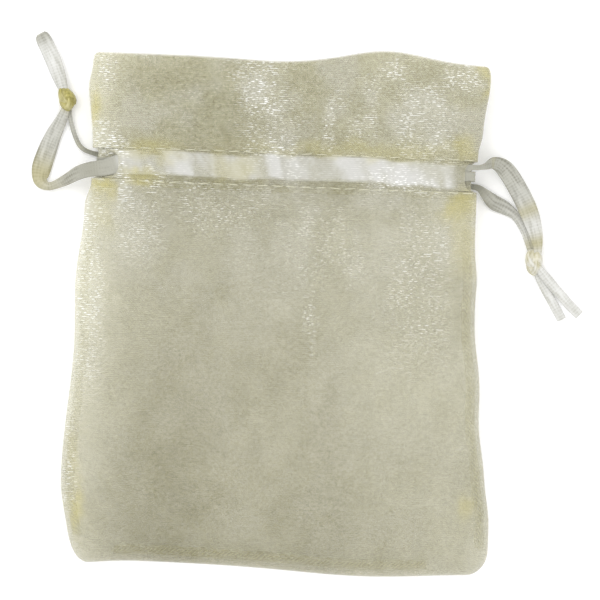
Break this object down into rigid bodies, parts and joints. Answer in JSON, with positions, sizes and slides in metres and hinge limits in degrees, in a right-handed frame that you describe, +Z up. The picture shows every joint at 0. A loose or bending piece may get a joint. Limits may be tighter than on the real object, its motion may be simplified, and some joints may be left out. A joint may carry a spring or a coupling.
{
  "type": "drawstring gift pouch",
  "caption": "Small sheer cloth pouch with a stitched casing at its neck and paired ribbon drawstrings that pull out at both sides to close its mouth.",
  "frame": {"origin": "under the middle of the cloth, at the height of the table that the back panel lies on", "axes": "+X across the pouch to the right, +Y from the bottom seam to the mouth, +Z up from the table through the back panel to the front panel"},
  "size_m": [0.096, 0.0911, 0.0082],
  "materials": {
    "organza": "sheer cream organza with a fine crosswise sparkle",
    "seam_allowance": "turned-in organza edges, overlocked, yellower where the layers are doubled",
    "thread": "pale cream sewing thread",
    "satin_ribbon": "glossy ivory satin with crosswise ribs",
    "knotted_ribbon": "satin pulled tight, yellower in the folds"
  },
  "bodies": {
    "pouch": {"front_panel": "organza", "back_panel": "organza", "left_side_seam": "seam_allowance", "right_side_seam": "seam_allowance", "bottom_seam": "seam_allowance", "left_heading_seam": "seam_allowance", "right_heading_seam": "seam_allowance", "front_upper_stitching": "thread", "front_lower_stitching": "thread", "back_upper_stitching": "thread", "back_lower_stitching": "thread"},
    "left_drawstring": {"left_ribbon": "satin_ribbon", "left_knot": "knotted_ribbon", "left_tail_upper": "satin_ribbon", "left_tail_lower": "satin_ribbon"},
    "right_drawstring": {"right_ribbon": "satin_ribbon", "right_knot": "knotted_ribbon", "right_tail_upper": "satin_ribbon", "right_tail_lower": "satin_ribbon"}
  },
  "joints": [
    {"name": "left_pull", "type": "slide", "parent": "pouch", "child": "left_drawstring", "axis": [-1, 0, 0], "range_m": [0, 0.024], "deforming": ["left_ribbon"]},
    {"name": "right_pull", "type": "slide", "parent": "pouch", "child": "right_drawstring", "axis": [1, 0, 0], "range_m": [0, 0.024], "deforming": ["right_ribbon"]}
  ]
}
